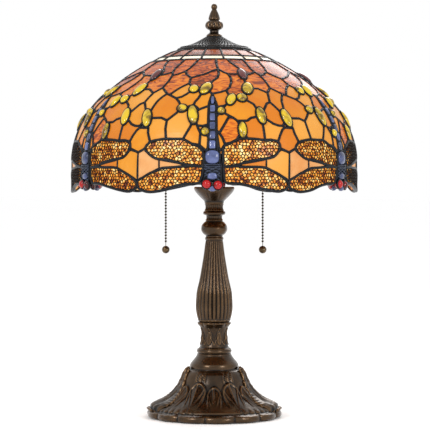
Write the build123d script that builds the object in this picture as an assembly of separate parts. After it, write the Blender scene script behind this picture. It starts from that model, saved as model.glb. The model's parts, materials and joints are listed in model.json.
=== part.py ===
from build123d import *
import math
import os

# Stained glass table lamp. Millimetres and degrees. +Z is up, the origin is at the
# centre of the felt pad's underside, and the front of the lamp faces -Y.
# Azimuth 0 is the front and grows towards +X, so azimuth 90 is +X.

# ---------------------------------------------------------------- driving dimensions
LAMP_HEIGHT = 588.0

# Shade: a dome of revolution, described from its top opening down to its rim.
SHADE_RADIUS = 202.0        # outside radius of the upright wall
GLASS_T = 3.0               # glass thickness
CROWN_LENGTH = 12.0         # straight stretch below the dome's upper edge
CREST_ARC = 375.0           # radius of curvature from the crown to the shoulder
SHOULDER_ARC = 130.0        # from the shoulder to the upright wall
CROWN_SLOPE, CREST_SLOPE, SHOULDER_SLOPE = 14.2, 23.7, 41.0
WALL_TOP_Z = 359.0          # where the shoulder turns into the upright wall
REPEAT = 60.0               # one dragonfly and its background glass
REPEATS = 6

# Glass rows, as distances down the dome from its upper edge. Each pane is flat, and
# spans one column: a wide one in the top and cream rows, a narrow one below them.
TOP_ROW = (8.0, 31.4)
CREAM_ROW = (33.8, 43.0)
RUSSET_ROWS = ((45.4, 72.0), (74.4, 100.0), (102.4, 128.0))
AMBER_ROWS = ((130.4, 165.0), (167.4, 202.0))
UPPER_WING_ROW = (204.4, 237.5)
LOWER_WING_START = 240.0
WIDE_COLUMN, COLUMN, FIRST_EDGE = 20.0, 10.0, 5.0
SEAM_HALF = 0.42            # degrees, half the rib between two columns
RING_GAP = 0.15             # clearance between a ring of solder and the panes
LOWER_ENDS = (262.0, 268.0, 274.0, 272.0, 274.0, 268.0)   # one repeat's scalloped rim

# Dragonfly, in low relief on the outside of the glass.
RELIEF_GAP = 0.25
TAIL_HALF = 1.1             # degrees
TAIL_TOP, TAIL_END, TAIL_SEGMENTS = 139.0, 217.0, 6
THORAX_HALF = 2.6           # degrees
THORAX_END, HEAD_END = 256.0, 270.0
UPPER_WING = dict(azimuth=15.0, z=373.0, half_length=39.0, half_height=13.5, tilt=8.0)
LOWER_WING = dict(azimuth=17.3, z=341.0, half_length=44.0, half_height=12.0, tilt=-9.0)
EYE_R, EYE_SPREAD, EYE_Z = 6.2, 7.9, 330.0
EYE_SINK = 1.6              # how far each eye is flattened against the glass
TAIL_H, THORAX_H, HEAD_H = 1.6, 2.2, 1.4
TAIL_FILL = 0.84            # share of each tail segment's length that is glass
FILIGREE_T, WING_REACH = 0.8, 31.0
WING_ROOT_GAP = 0.4         # degrees
WING_TOP, WING_BOTTOM = 200.0, 278.0
CUTTER_NEAR, CUTTER_FAR = 150.0, 230.0

# Cabochons in one repeat: azimuth, distance down the dome, half width, half height, tilt.
GOLD_CABOCHONS = (
    (-3.2, 119.0, 5.0, 11.0, -14.0),
    (17.4, 119.0, 5.4, 11.5, -8.0),
    (8.4, 142.0, 5.0, 8.5, -28.0),
    (20.6, 168.5, 5.5, 12.0, 8.0),
    (-8.2, 167.0, 5.6, 13.5, 12.0),
    (11.9, 190.0, 4.6, 10.5, 2.0),
    (31.6, 172.0, 5.0, 12.5, 22.0),
)
DARK_CABOCHON = (18.0, 87.5, 6.0, 12.5, 10.0)
CABOCHON_H, CABOCHON_EDGE = 2.6, 1.4

# Stem and foot.
TUBE_R, TUBE_BORE = 5.0, 3.4
TUBE_CLEAR = 0.15
TUBE_BOTTOM, TUBE_TOP = 30.0, 384.0
FOOT_R = 96.0
FOOT_TOP, NECK_TOP, COLLAR_TOP = 66.0, 97.0, 133.0
BALUSTER_TOP, BALL_TOP, RING_TOP = 256.0, 278.0, 295.0
FLUTED_NECK_TOP, CUP_TOP = 307.0, 327.5
FOOT_WALL_R = 86.0          # inside radius at the foot's rim
FOOT_LOBES, LOBE_PITCH_R, LOBE_R, LOBE_CORE_R = 12, 77.0, 18.5, 88.0
SHELL_TOP = FOOT_TOP - 12.0 # underside of the foot's hub
FELT_T, FELT_R = 1.2, 78.0
PLATE_T, PLATE_R = 1.6, 85.8
BALL_STEM_R = 11.0          # stem radius above and below the ball
INLET_Z, INLET_R, INLET_BODY_R = 9.0, 3.2, 4.5

# Sockets and bulbs, along X at both sides of the cluster body.
CLUSTER_Z, CLUSTER_R, CLUSTER_HALF = 392.0, 17.0, 14.0
ARM_R, ARM_BORE, ARM_END = 5.0, 3.4, 37.0
SOCKET_R, SOCKET_START, SOCKET_END = 17.0, 46.0, 86.0
BULB_R, BULB_TIP, BULB_WALL = 30.0, 168.0, 0.9
CHAIN_X = 69.0              # where each pull chain hangs

# Pull chains.
BEAD_R, BEAD_PITCH, LINK_R = 1.6, 4.24, 0.45
GUIDE_MOUTH_Z = 361.0
COUPLING_Z, SWING_Z = 345.0, 343.0
BALL_R, BALL_Z = 5.5, 238.0

# Top fittings.
SEAT_Z = 512.0
APERTURE_R, SPIDER_R = 48.75, 46.2
APERTURE_BOTTOM, APERTURE_TOP = 516.6, 520.4
CAP_RIM_R, CAP_RIM_Z, CAP_RIM_TUBE = 49.0, 521.2, 2.7
CAP_TOP_R, CAP_TOP_Z = 10.0, 539.4
CAP_T = 1.4
VENT_WINDOWS, WINDOW_FILL = 16, 0.6
WINDOW_ROWS = ((13.0, 20.0), (24.0, 31.0), (35.0, 43.0))
RISER_R, RISER_BOTTOM, RISER_TOP = 3.2, 400.2, 551.0
LOOSE, SNUG, RUNNING = 0.3, 0.05, 0.08      # radial clearances round the rods
FINIAL_BASE_Z, FINIAL_BORE, FINIAL_BALL_R = 541.0, 12.5, 4.3


# ---------------------------------------------------------------- dome geometry
def dome_segments():
    """Each curved stretch of the outside profile below the straight crown, as
    (length, radius of curvature, slope at its start, centre r, centre z)."""
    sin, cos, rad = math.sin, math.cos, math.radians
    shoulder_r = SHADE_RADIUS - SHOULDER_ARC
    offset = SHOULDER_ARC - CREST_ARC
    crest_r = shoulder_r + offset * sin(rad(SHOULDER_SLOPE))
    crest_z = WALL_TOP_Z + offset * cos(rad(SHOULDER_SLOPE))
    crest = (CREST_ARC * rad(SHOULDER_SLOPE - CREST_SLOPE), CREST_ARC, CREST_SLOPE, crest_r, crest_z)
    shoulder = (SHOULDER_ARC * rad(90.0 - SHOULDER_SLOPE), SHOULDER_ARC, SHOULDER_SLOPE,
                shoulder_r, WALL_TOP_Z)
    return [crest, shoulder]


SEGMENTS = dome_segments()
ARC_LENGTH = CROWN_LENGTH + sum(s[0] for s in SEGMENTS)


def dome_point(down, depth=0.0):
    """(r, z) at a distance down the dome, depth below its outside surface."""
    if down < CROWN_LENGTH:
        r, z = dome_point(CROWN_LENGTH)
        slope, back = math.radians(CROWN_SLOPE), CROWN_LENGTH - down
        normal = math.radians(CROWN_SLOPE + (CREST_SLOPE - CROWN_SLOPE) * down / CROWN_LENGTH)
        r -= back * math.cos(slope) + depth * math.sin(normal)
        return r, z + back * math.sin(slope) - depth * math.cos(normal)
    down -= CROWN_LENGTH
    for length, radius, slope, cr, cz in SEGMENTS:
        if down <= length:
            at = math.radians(slope) + down / radius
            return cr + (radius - depth) * math.sin(at), cz + (radius - depth) * math.cos(at)
        down -= length
    return SHADE_RADIUS - depth, WALL_TOP_Z - down


def dome_edges(start, end, depth):
    """Edges that follow the profile from start to end, split where its curvature changes."""
    breaks, total = [CROWN_LENGTH], CROWN_LENGTH
    for segment in SEGMENTS:
        total += segment[0]
        breaks.append(total)
    stops = [start] + [b for b in breaks if start < b < end] + [end]
    edges = []
    for a, b in zip(stops, stops[1:]):
        points = [dome_point(x, depth) for x in (a, (a + b) / 2, b)]
        first, middle, last = [(r, 0, z) for r, z in points]
        straight = a >= ARC_LENGTH - 1e-6 or b <= CROWN_LENGTH
        edges.append(Line(first, last) if straight else ThreePointArc(first, middle, last))
    return edges


def strip(start, end, outer=0.0, inner=GLASS_T):
    """The dome's cross section from start to end, between two depths."""
    out, into = dome_edges(start, end, outer), dome_edges(start, end, inner)
    ends = [Line(out[0] @ 0, into[0] @ 0), Line(out[-1] @ 1, into[-1] @ 1)]
    return make_face(Wire(out + into + ends))


def turned(shape, azimuth):
    """A shape built at azimuth 90, turned to another azimuth."""
    return Rot(0, 0, azimuth - 90.0) * shape


def panel(start, end, left, right, outer=0.0, inner=GLASS_T):
    """A curved piece of the dome between two azimuths."""
    return turned(revolve(strip(start, end, outer, inner), Axis.Z, revolution_arc=right - left), left)


def corner(azimuth, down, depth):
    r, z = dome_point(down, depth)
    a = math.radians(azimuth)
    return Vector(r * math.sin(a), -r * math.cos(a), z)


def block(start, end, left, right, outer=0.0, inner=GLASS_T):
    """A flat-sided piece of the dome with its corners at the two depths."""
    spots = ((start, left), (start, right), (end, right), (end, left))
    near = [corner(azimuth, down, outer) for down, azimuth in spots]
    far = [corner(azimuth, down, inner) for down, azimuth in spots]
    quads = [near, far]
    for i in range(4):
        j = (i + 1) % 4
        quads.append([near[i], near[j], far[j], far[i]])
    return Solid(Shell([Face(Wire.make_polygon(quad)) for quad in quads]))


def wall_plane(azimuth):
    """A plane through the axis whose x runs round the lamp, y up and z outwards."""
    a = math.radians(azimuth)
    return Plane(origin=(0, 0, 0), x_dir=(math.cos(a), math.sin(a), 0),
                 z_dir=(math.sin(a), -math.cos(a), 0))


def oval_prism(azimuth, z, half_width, half_height, tilt, near, far):
    """An elliptical prism that points outwards at an azimuth."""
    sketch = Pos(0, z) * Rot(0, 0, tilt) * Ellipse(half_width, half_height)
    prism = extrude(wall_plane(azimuth) * sketch, far - near)
    a = math.radians(azimuth)
    return Pos(near * math.sin(a), -near * math.cos(a), 0) * prism


def wing_prism(wing, side):
    return oval_prism(side * wing["azimuth"], wing["z"], wing["half_length"], wing["half_height"],
                      side * wing["tilt"], CUTTER_NEAR, CUTTER_FAR)


def cabochon(spot):
    """A domed oval of glass on the outside of the dome."""
    azimuth, down, half_width, half_height, tilt = spot
    foot = corner(azimuth, down, -RELIEF_GAP)
    out = (corner(azimuth, down, -10.0) - foot).normalized()
    a = math.radians(azimuth)
    plane = Plane(origin=foot, x_dir=(math.cos(a), math.sin(a), 0), z_dir=out)
    prism = extrude(plane * (Rot(0, 0, -tilt) * Ellipse(half_width, half_height)), CABOCHON_H)
    outside = max(prism.faces(), key=lambda face: face.center().dot(out))
    return fillet(outside.edges(), CABOCHON_EDGE)


def spun(outline):
    """A solid of revolution from a closed outline of (r, z) points and edges."""
    return revolve(make_face(Wire(outline)), Axis.Z)


def polygon_ring(points):
    """A solid of revolution with straight sides."""
    return revolve(make_face(Polyline([(r, 0, z) for r, z in points], close=True)), Axis.Z)


def casting(profile, bore):
    """A turned casting: a smooth outside through (r, z) points, flat ends and a bore."""
    outside = Spline([(r, 0, z) for r, z in profile])
    bottom, top = profile[0][1], profile[-1][1]
    edges = [outside, Line(outside @ 1, (bore, 0, top)), Line((bore, 0, top), (bore, 0, bottom)),
             Line((bore, 0, bottom), outside @ 0)]
    return spun(edges)


def tube(radius, bore, bottom, top):
    height = top - bottom
    ring = Pos(0, 0, bottom) * extrude(Circle(radius), height)
    return ring - Pos(0, 0, bottom) * extrude(Circle(bore), height)


# ---------------------------------------------------------------- shade
def repeat_round(solids):
    """Copies of one repeat's solids in every repeat."""
    return [Rot(0, 0, REPEAT * k) * solid for k in range(REPEATS) for solid in solids]


def columns(width):
    """The left and right edge of each column of panes."""
    count = round(360.0 / width)
    return [(FIRST_EDGE + i * width, FIRST_EDGE + (i + 1) * width) for i in range(count)]


def lower_end(left):
    """How far down the dome the last row reaches in the column that starts at left."""
    step = round((left + COLUMN / 2) / COLUMN) % len(LOWER_ENDS)
    return LOWER_ENDS[step]


def row_of_panes(row, width):
    return [block(*row, left + SEAM_HALF, right - SEAM_HALF) for left, right in columns(width)]


def glass():
    """Every pane, by node name. The panes under a wing have nodes of their own."""
    panes = {"top_row_glass": row_of_panes(TOP_ROW, WIDE_COLUMN),
             "cream_band_glass": row_of_panes(CREAM_ROW, WIDE_COLUMN),
             "russet_glass": [p for row in RUSSET_ROWS for p in row_of_panes(row, COLUMN)],
             "amber_glass": [p for row in AMBER_ROWS for p in row_of_panes(row, COLUMN)],
             "upper_wing_glass": [], "lower_wing_glass": [], "lower_amber_glass": []}
    for left, right in columns(COLUMN):
        end = lower_end(left)
        upper = block(*UPPER_WING_ROW, left + SEAM_HALF, right - SEAM_HALF)
        lower = block(LOWER_WING_START, end, left + SEAM_HALF, right - SEAM_HALF)
        winged = end > min(LOWER_ENDS)
        panes["upper_wing_glass" if winged else "lower_amber_glass"].append(upper)
        panes["lower_wing_glass" if winged else "lower_amber_glass"].append(lower)
    return panes


def solder_ribs():
    """The upright seams, one in each row between two columns."""
    ribs = []
    rows = ((TOP_ROW, WIDE_COLUMN), (CREAM_ROW, WIDE_COLUMN))
    rows += tuple((row, COLUMN) for row in RUSSET_ROWS + AMBER_ROWS + (UPPER_WING_ROW,))
    for row, width in rows:
        ribs += [block(*row, left - SEAM_HALF, left + SEAM_HALF) for left, _ in columns(width)]
    for left, _ in columns(COLUMN):
        end = min(lower_end(left), lower_end(left - COLUMN))
        ribs.append(block(LOWER_WING_START, end, left - SEAM_HALF, left + SEAM_HALF))
    return ribs


def solder_rings():
    """The level seams between the rows, each a many-sided ring."""
    rows = (TOP_ROW, CREAM_ROW) + RUSSET_ROWS + AMBER_ROWS + (UPPER_WING_ROW,)
    starts = [0.0] + [row[1] + RING_GAP for row in rows]
    ends = [row[0] - RING_GAP for row in rows] + [LOWER_WING_START - RING_GAP]
    rings = []
    for start, end in zip(starts, ends):
        width = WIDE_COLUMN if start < CREAM_ROW[0] else COLUMN
        blocks = [block(start, end, left, right) for left, right in columns(width)]
        rings.append(blocks[0].fuse(*blocks[1:]))
    return rings


def relief(start, end, left, right, height):
    """A piece of low relief on the outside of the dome."""
    return panel(start, end, left, right, -RELIEF_GAP - height, -RELIEF_GAP)


def dragonfly_tails():
    step = (TAIL_END - TAIL_TOP) / TAIL_SEGMENTS
    return [relief(TAIL_TOP + i * step, TAIL_TOP + (i + TAIL_FILL) * step, -TAIL_HALF, TAIL_HALF, TAIL_H)
            for i in range(TAIL_SEGMENTS)]


def dragonfly_bodies():
    """The thorax plate and the head plate below it."""
    return [relief(TAIL_END + 1.0, THORAX_END, -THORAX_HALF, THORAX_HALF, THORAX_H),
            relief(THORAX_END + 0.4, HEAD_END, -THORAX_HALF, THORAX_HALF, HEAD_H)]


def dragonfly_eyes():
    eyes = []
    inside = Pos(0, 0, EYE_Z - 30) * extrude(Circle(SHADE_RADIUS + RELIEF_GAP + EYE_SINK), 60)
    for side in (1, -1):
        eye = Pos(side * EYE_SPREAD, -SHADE_RADIUS - 1.5, EYE_Z) * Sphere(EYE_R)
        eyes.append((eye - inside).solids()[0])
    return eyes


def wing_filigree():
    """Pierced metal laid over the wing glass, here as plain thin plates."""
    plates = []
    for wing in (UPPER_WING, LOWER_WING):
        for side in (1, -1):
            edges = sorted((side * (THORAX_HALF + WING_ROOT_GAP), side * WING_REACH))
            shell = relief(WING_TOP, WING_BOTTOM, *edges, FILIGREE_T)
            plates.append((shell & wing_prism(wing, side)).solids()[0])
    return plates


def aperture_ring():
    """The brass ring that the shade's upper edge is soldered to."""
    return tube(APERTURE_R, SPIDER_R, APERTURE_BOTTOM, APERTURE_TOP)


# ---------------------------------------------------------------- top fittings
def vent_cap():
    """A pierced metal cone that lets the lamp's heat out."""
    foot_r = CAP_RIM_R - CAP_RIM_TUBE + 0.6 - SNUG
    outside = [(CAP_TOP_R, CAP_TOP_Z), (22.0, 533.2), (33.0, 528.4), (foot_r, 522.6)]
    inside = [(r, z - CAP_T) for r, z in outside]
    bore = RISER_R + LOOSE
    cone = polygon_ring([(bore, CAP_TOP_Z)] + outside + inside[::-1] + [(bore, CAP_TOP_Z - CAP_T)])
    windows = []
    for inner_r, outer_r in WINDOW_ROWS:
        face = make_face(Polyline([(inner_r, 0, 515), (outer_r, 0, 515), (outer_r, 0, 545),
                                   (inner_r, 0, 545)], close=True))
        window = revolve(face, Axis.Z, revolution_arc=WINDOW_FILL * 360.0 / VENT_WINDOWS)
        windows += [Rot(0, 0, i * 360.0 / VENT_WINDOWS) * window for i in range(VENT_WINDOWS)]
    return cone - windows


def cap_rim():
    ring = Pos(0, 0, CAP_RIM_Z) * Torus(CAP_RIM_R, CAP_RIM_TUBE)
    return ring & tube(60.0, CAP_RIM_R - CAP_RIM_TUBE + 0.6, CAP_RIM_Z - 0.6, CAP_RIM_Z + 10.0)


def shade_spider():
    """A hub with three arms, soldered inside the aperture ring, that carries the shade."""
    hub = tube(9.0, RISER_R + LOOSE, SEAT_Z + 4.0, SEAT_Z + 7.4)
    for spot in PolarLocations(0, 3):
        hub = hub + spot * Pos(27.0, 0, SEAT_Z + 5.9) * Box(39.0, 6.0, 2.0)
    return hub & extrude(Circle(SPIDER_R - SNUG), LAMP_HEIGHT)


def finial():
    """The turned knob that screws down on the riser and holds the shade."""
    base = FINIAL_BASE_Z
    outline = [(9.6, base), (10.9, base + 1.8), (6.4, base + 7.0), (6.2, base + 9.0)]
    bulb = [(7.5, base + 9.6), (12.6, base + 16.2), (7.8, base + 22.0)]
    cone = [(8.5, base + 23.0), (7.2, base + 31.0), (3.2, base + 39.0)]
    ball_z = LAMP_HEIGHT - FINIAL_BALL_R
    flange = Polyline([(r, 0, z) for r, z in outline + [bulb[0]]])
    edges = [*flange.edges(),
             ThreePointArc(*[(r, 0, z) for r, z in bulb]),
             Line((bulb[2][0], 0, bulb[2][1]), (cone[0][0], 0, cone[0][1])),
             Spline([(r, 0, z) for r, z in cone]),
             Line((cone[2][0], 0, cone[2][1]), (0, 0, cone[2][1])),
             Line((0, 0, cone[2][1]), (0, 0, base)),
             Line((0, 0, base), (outline[0][0], 0, base))]
    knob = spun(edges) + Pos(0, 0, ball_z) * Sphere(FINIAL_BALL_R)
    return knob - Pos(0, 0, base) * extrude(Circle(RISER_R + RUNNING), FINIAL_BORE)


# ---------------------------------------------------------------- stem and foot
def foot_casting():
    """A hollow bell with a lobed rim."""
    outside = Spline([(38.0, 0, FOOT_TOP), (47.5, 0, 56.0), (54.0, 0, 42.5), (61.5, 0, 34.0),
                      (76.0, 0, 28.0), (FOOT_R - 4, 0, 20.5)])
    inside = Spline([(31.0, 0, SHELL_TOP), (41.0, 0, 48.0), (49.0, 0, 37.0), (57.0, 0, 29.0),
                     (72.0, 0, 22.5), (FOOT_WALL_R, 0, 15.5)])
    bore = TUBE_R + TUBE_CLEAR
    rim = Polyline(outside @ 1, (FOOT_R, 0, 14.0), (FOOT_R, 0, 1.0), (FOOT_WALL_R, 0, 1.0), inside @ 1)
    hub = Polyline(inside @ 0, (bore, 0, SHELL_TOP), (bore, 0, FOOT_TOP), outside @ 0)
    bell = spun([outside, inside, *rim.edges(), *hub.edges()])
    lobes = Circle(LOBE_CORE_R)
    for spot in PolarLocations(LOBE_PITCH_R, FOOT_LOBES):
        lobes = lobes + spot * Circle(LOBE_R)
    bell = bell & extrude(lobes, FOOT_TOP)
    return bell - inlet_cylinder(INLET_BODY_R, LOBE_PITCH_R, FOOT_R + 10.0)


def inlet_cylinder(radius, near, far):
    plane = Plane(origin=(0, near, INLET_Z), x_dir=(1, 0, 0), z_dir=(0, 1, 0))
    return extrude(plane * Circle(radius), far - near)


def cord_bushing():
    """A flanged insulating bush for the supply cord, through the back of the foot."""
    body = inlet_cylinder(INLET_BODY_R, 84.0, 95.6) + inlet_cylinder(INLET_BODY_R + 2.0, 95.6, 98.0)
    return body - inlet_cylinder(INLET_R, 80.0, 100.0)


def stem_castings():
    """The turned and cast stem pieces, stacked on the tube, by node name."""
    bore = TUBE_R + TUBE_CLEAR
    neck = casting([(34.0, FOOT_TOP), (34.8, 72.4), (31.4, 79.2), (26.4, 85.4), (24.4, 90.4),
                    (22.8, NECK_TOP)], bore)
    collar = casting([(23.2, NECK_TOP), (20.4, 105.0), (18.1, 114.5), (20.6, 125.0),
                      (23.2, COLLAR_TOP)], bore)
    baluster = casting([(21.4, COLLAR_TOP), (23.9, 143.5), (25.8, 160.0), (21.9, 190.0),
                        (17.3, 214.0), (12.3, 242.0), (10.9, BALUSTER_TOP)], bore)
    inner = casting([(12.0, COLLAR_TOP + 5), (19.5, 150.0), (21.5, 163.0), (17.5, 190.0),
                     (13.0, 214.0), (8.5, 240.0)], bore - 0.1)
    baluster = baluster - inner
    mid = (BALUSTER_TOP + BALL_TOP) / 2
    low, high = (BALL_STEM_R, 0, BALUSTER_TOP), (BALL_STEM_R, 0, BALL_TOP)
    sides = Polyline(high, (bore, 0, BALL_TOP), (bore, 0, BALUSTER_TOP), low)
    ball = spun([ThreePointArc(low, (18.0, 0, mid), high), *sides.edges()])
    ring_z = 290.0
    ring = tube(BALL_STEM_R, bore, BALL_TOP, RING_TOP)
    bead = Pos(0, 0, ring_z) * Torus(12.4, 2.6)
    ring = ring + (bead & tube(20.0, BALL_STEM_R - 0.1, ring_z - 4, ring_z + 4))
    neck_top = polygon_ring([(12.0, RING_TOP), (12.7, FLUTED_NECK_TOP), (bore, FLUTED_NECK_TOP),
                             (bore, RING_TOP)])
    cup = polygon_ring([(13.9, FLUTED_NECK_TOP), (27.8, 324.0), (26.4, CUP_TOP), (23.0, CUP_TOP),
                        (14.0, 324.4), (bore, 324.4), (bore, FLUTED_NECK_TOP)])
    return {"base_neck": neck, "leaf_collar": collar, "fluted_baluster": baluster,
            "stem_ball": ball, "ring_collar": ring, "fluted_neck": neck_top, "flared_cup": cup}


def hex_nut(across, bore, bottom, height):
    blank = extrude(RegularPolygon(across / math.sqrt(3), 6), height)
    return Pos(0, 0, bottom) * (blank - extrude(Circle(bore), height))


# ---------------------------------------------------------------- sockets, bulbs, chains
def along_x(profile):
    """A solid of revolution about X from (x, r) points, at the height of the cluster."""
    face = make_face(Polyline([(x, 0, r) for x, r in profile], close=True))
    return Pos(0, 0, CLUSTER_Z) * revolve(face, Axis.X)


def cluster_body():
    z = CLUSTER_Z
    half, r = CLUSTER_HALF, CLUSTER_R
    body = polygon_ring([(0, z - half), (8.0, z - half), (r, z - half + 5), (r, z + half - 5),
                         (8.0, z + half), (0, z + half)])
    body = body - Pos(0, 0, z - half) * extrude(Circle(TUBE_R + SNUG), 6.5)
    body = body - Pos(0, 0, z + half - 6) * extrude(Circle(RISER_R + SNUG), 6.5)
    arm_hole = along_x([(-20, 0), (-20, ARM_R + SNUG), (20, ARM_R + SNUG), (20, 0)])
    return body - arm_hole


def socket_arms():
    """One threaded nipple right through the cluster body holds both sockets."""
    bar = [(-ARM_END, ARM_BORE), (-ARM_END, ARM_R), (ARM_END, ARM_R), (ARM_END, ARM_BORE)]
    return along_x(bar)


def socket_pieces():
    """The right-hand socket's pieces, by node name."""
    s, e, r = SOCKET_START, SOCKET_END, SOCKET_R
    nipple = ARM_R + SNUG
    cap = along_x([(31.0, nipple), (31.0, 9.0), (36.0, 13.0), (s, r), (s, r - 1.0), (38.0, 11.5),
                   (37.2, nipple)])
    shell = along_x([(s, r - 1.0), (s, r), (e - 2, r), (e, r + 1.0), (e, r), (e - 2, r - 1.0)])
    guide_hole = Pos(CHAIN_X, 0, GUIDE_MOUTH_Z - 5) * extrude(Circle(3.05), 30)
    shell = shell - guide_hole
    liner = along_x([(48.0, 0), (48.0, r - 1.1), (84.0, r - 1.1), (84.0, 13.9), (56.0, 13.9),
                     (56.0, 0)])
    screw_shell = along_x([(57.0, 13.2), (57.0, 13.8), (82.0, 13.8), (82.0, 13.2)])
    contact = along_x([(56.1, 0), (56.1, 4.0), (58.2, 4.0), (58.2, 0)])
    return {"socket_cap": cap, "socket_shell": shell, "socket_liner": liner,
            "screw_shell": screw_shell, "contact_button": contact}


def chain_guide():
    """The flared metal tube that the pull chain runs through, below the socket."""
    top = CLUSTER_Z - SOCKET_R + 0.8
    return Pos(CHAIN_X, 0, 0) * polygon_ring(
        [(2.4, GUIDE_MOUTH_Z), (3.8, GUIDE_MOUTH_Z), (3.0, GUIDE_MOUTH_Z + 3), (3.0, top),
         (2.3, top), (2.3, GUIDE_MOUTH_Z + 3)])


def bulb_solid(inset):
    """The space inside one bulb's surface, inset by a wall and open at the neck."""
    globe_x = BULB_TIP - BULB_R
    radius, tip, diagonal = BULB_R - inset, BULB_TIP - inset, math.sin(math.pi / 4)
    start = 85.2 - inset
    side = Spline([(start, 0, 14.5 - inset), (94.0, 0, 16.0 - inset), (104.0, 0, 21.5 - inset),
                   (118.0, 0, 27.8 - inset), (globe_x, 0, radius)])
    nose = ThreePointArc((globe_x, 0, radius), (globe_x + radius * diagonal, 0, radius * diagonal),
                         (tip, 0, 0))
    edges = [side, nose, Line((tip, 0, 0), (start, 0, 0)), Line((start, 0, 0), side @ 0)]
    return Pos(0, 0, CLUSTER_Z) * revolve(make_face(Wire(edges)), Axis.X)


def bulb_pieces():
    """Screw base and glass envelope of one bulb."""
    base = along_x([(58.4, 0), (58.4, 4.0), (61.0, 9.0), (62.0, 13.0), (85.0, 13.0), (85.0, 0)])
    glass = bulb_solid(0.0) - bulb_solid(BULB_WALL)
    return {"bulb_base": base, "bulb_glass": glass}


def bead_chain(top, bottom, beads):
    """Beads on a thin wire, hanging along Z at the chain's x."""
    wire = Pos(CHAIN_X, 0, bottom) * extrude(Circle(LINK_R), top - bottom)
    chain = wire
    for i in range(beads):
        chain = chain + Pos(CHAIN_X, 0, top - BEAD_PITCH * (i + 0.5)) * Sphere(BEAD_R)
    return chain


def pull_chain_pieces():
    """The right-hand pull chain's pieces, by node name."""
    lead_beads = 4
    lead_bottom = COUPLING_Z + 4.2
    lead_top = lead_bottom + BEAD_PITCH * lead_beads
    coupling = Pos(CHAIN_X, 0, 0) * polygon_ring(
        [(0, COUPLING_Z - 2.0), (1.2, COUPLING_Z - 2.0), (2.3, COUPLING_Z - 0.5),
         (2.3, COUPLING_Z + 1.8), (1.4, COUPLING_Z + 3.8), (0, COUPLING_Z + 3.8)])
    coupling = coupling + Pos(CHAIN_X, 0, SWING_Z) * Sphere(1.6)
    chain_top = COUPLING_Z - 4.0
    chain_bottom = BALL_Z + BALL_R
    beads = int((chain_top - chain_bottom) / BEAD_PITCH)
    chain = bead_chain(chain_top, chain_bottom, beads)
    ball = Pos(CHAIN_X, 0, BALL_Z) * Sphere(BALL_R)
    return {"chain_lead": bead_chain(lead_top, lead_bottom, lead_beads),
            "chain_coupling": coupling, "pull_chain": chain, "pull_ball": ball}


# ---------------------------------------------------------------- assembly
def build():
    parts = glass()
    parts["solder_ribs"] = solder_ribs()
    parts["solder_rings"] = solder_rings()
    parts["gold_cabochons"] = repeat_round([cabochon(spot) for spot in GOLD_CABOCHONS])
    parts["dark_cabochons"] = repeat_round([cabochon(DARK_CABOCHON)])
    parts["dragonfly_tails"] = repeat_round(dragonfly_tails())
    parts["dragonfly_bodies"] = repeat_round(dragonfly_bodies())
    parts["dragonfly_eyes"] = repeat_round(dragonfly_eyes())
    parts["wing_filigree"] = repeat_round(wing_filigree())
    parts["aperture_ring"] = aperture_ring()

    parts["vent_cap"] = vent_cap()
    parts["cap_rim"] = cap_rim()
    parts["shade_spider"] = shade_spider()
    parts["riser_coupling"] = tube(8.9, RISER_R + LOOSE, SEAT_Z + 7.6, CAP_TOP_Z - CAP_T)
    parts["seat_nut"] = hex_nut(14.0, RISER_R + SNUG, SEAT_Z - 4.0, 6.0)
    parts["seat_washer"] = tube(12.0, RISER_R + LOOSE, SEAT_Z + 2.2, SEAT_Z + 3.8)
    parts["riser_rod"] = Pos(0, 0, RISER_BOTTOM) * extrude(Circle(RISER_R), RISER_TOP - RISER_BOTTOM)
    parts["finial_washer"] = tube(8.4, RISER_R + LOOSE, CAP_TOP_Z, CAP_TOP_Z + 1.4)
    parts["finial"] = finial()

    parts["foot_casting"] = foot_casting()
    parts["cord_bushing"] = cord_bushing()
    parts["felt_pad"] = extrude(Circle(FELT_R), FELT_T)
    parts["bottom_plate"] = Pos(0, 0, FELT_T) * extrude(Circle(PLATE_R), PLATE_T)
    parts.update(stem_castings())
    parts["stem_tube"] = tube(TUBE_R, TUBE_BORE, TUBE_BOTTOM, TUBE_TOP)
    parts["foot_nut"] = hex_nut(16.0, TUBE_R + SNUG, SHELL_TOP - 9.0, 6.5)
    parts["foot_washer"] = tube(13.0, TUBE_R + TUBE_CLEAR, SHELL_TOP - 2.2, SHELL_TOP - 0.2)
    parts["check_ring"] = tube(9.0, TUBE_R + TUBE_CLEAR, 324.6, 326.8)
    parts["cup_nut"] = hex_nut(14.0, TUBE_R + SNUG, 327.0, 4.0)

    parts["cluster_body"] = cluster_body()
    parts["socket_arms"] = socket_arms()
    other_side = Rot(0, 0, 180.0)
    for name, shape in {**socket_pieces(), "chain_guide": chain_guide(), **bulb_pieces()}.items():
        parts[name + ("es" if name.endswith("s") else "s")] = [shape, other_side * shape]
    for name, shape in pull_chain_pieces().items():
        parts["right_" + name] = shape
        parts["left_" + name] = other_side * shape
    return parts


def main():
    os.makedirs("parts", exist_ok=True)
    for name, shape in build().items():
        whole = Compound(children=shape) if isinstance(shape, list) else shape
        export_step(whole, f"parts/{name}.step")


main()
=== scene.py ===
import json
import math
import random

import bpy
from mathutils import Matrix, Vector
from mathutils.geometry import delaunay_2d_cdt


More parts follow.
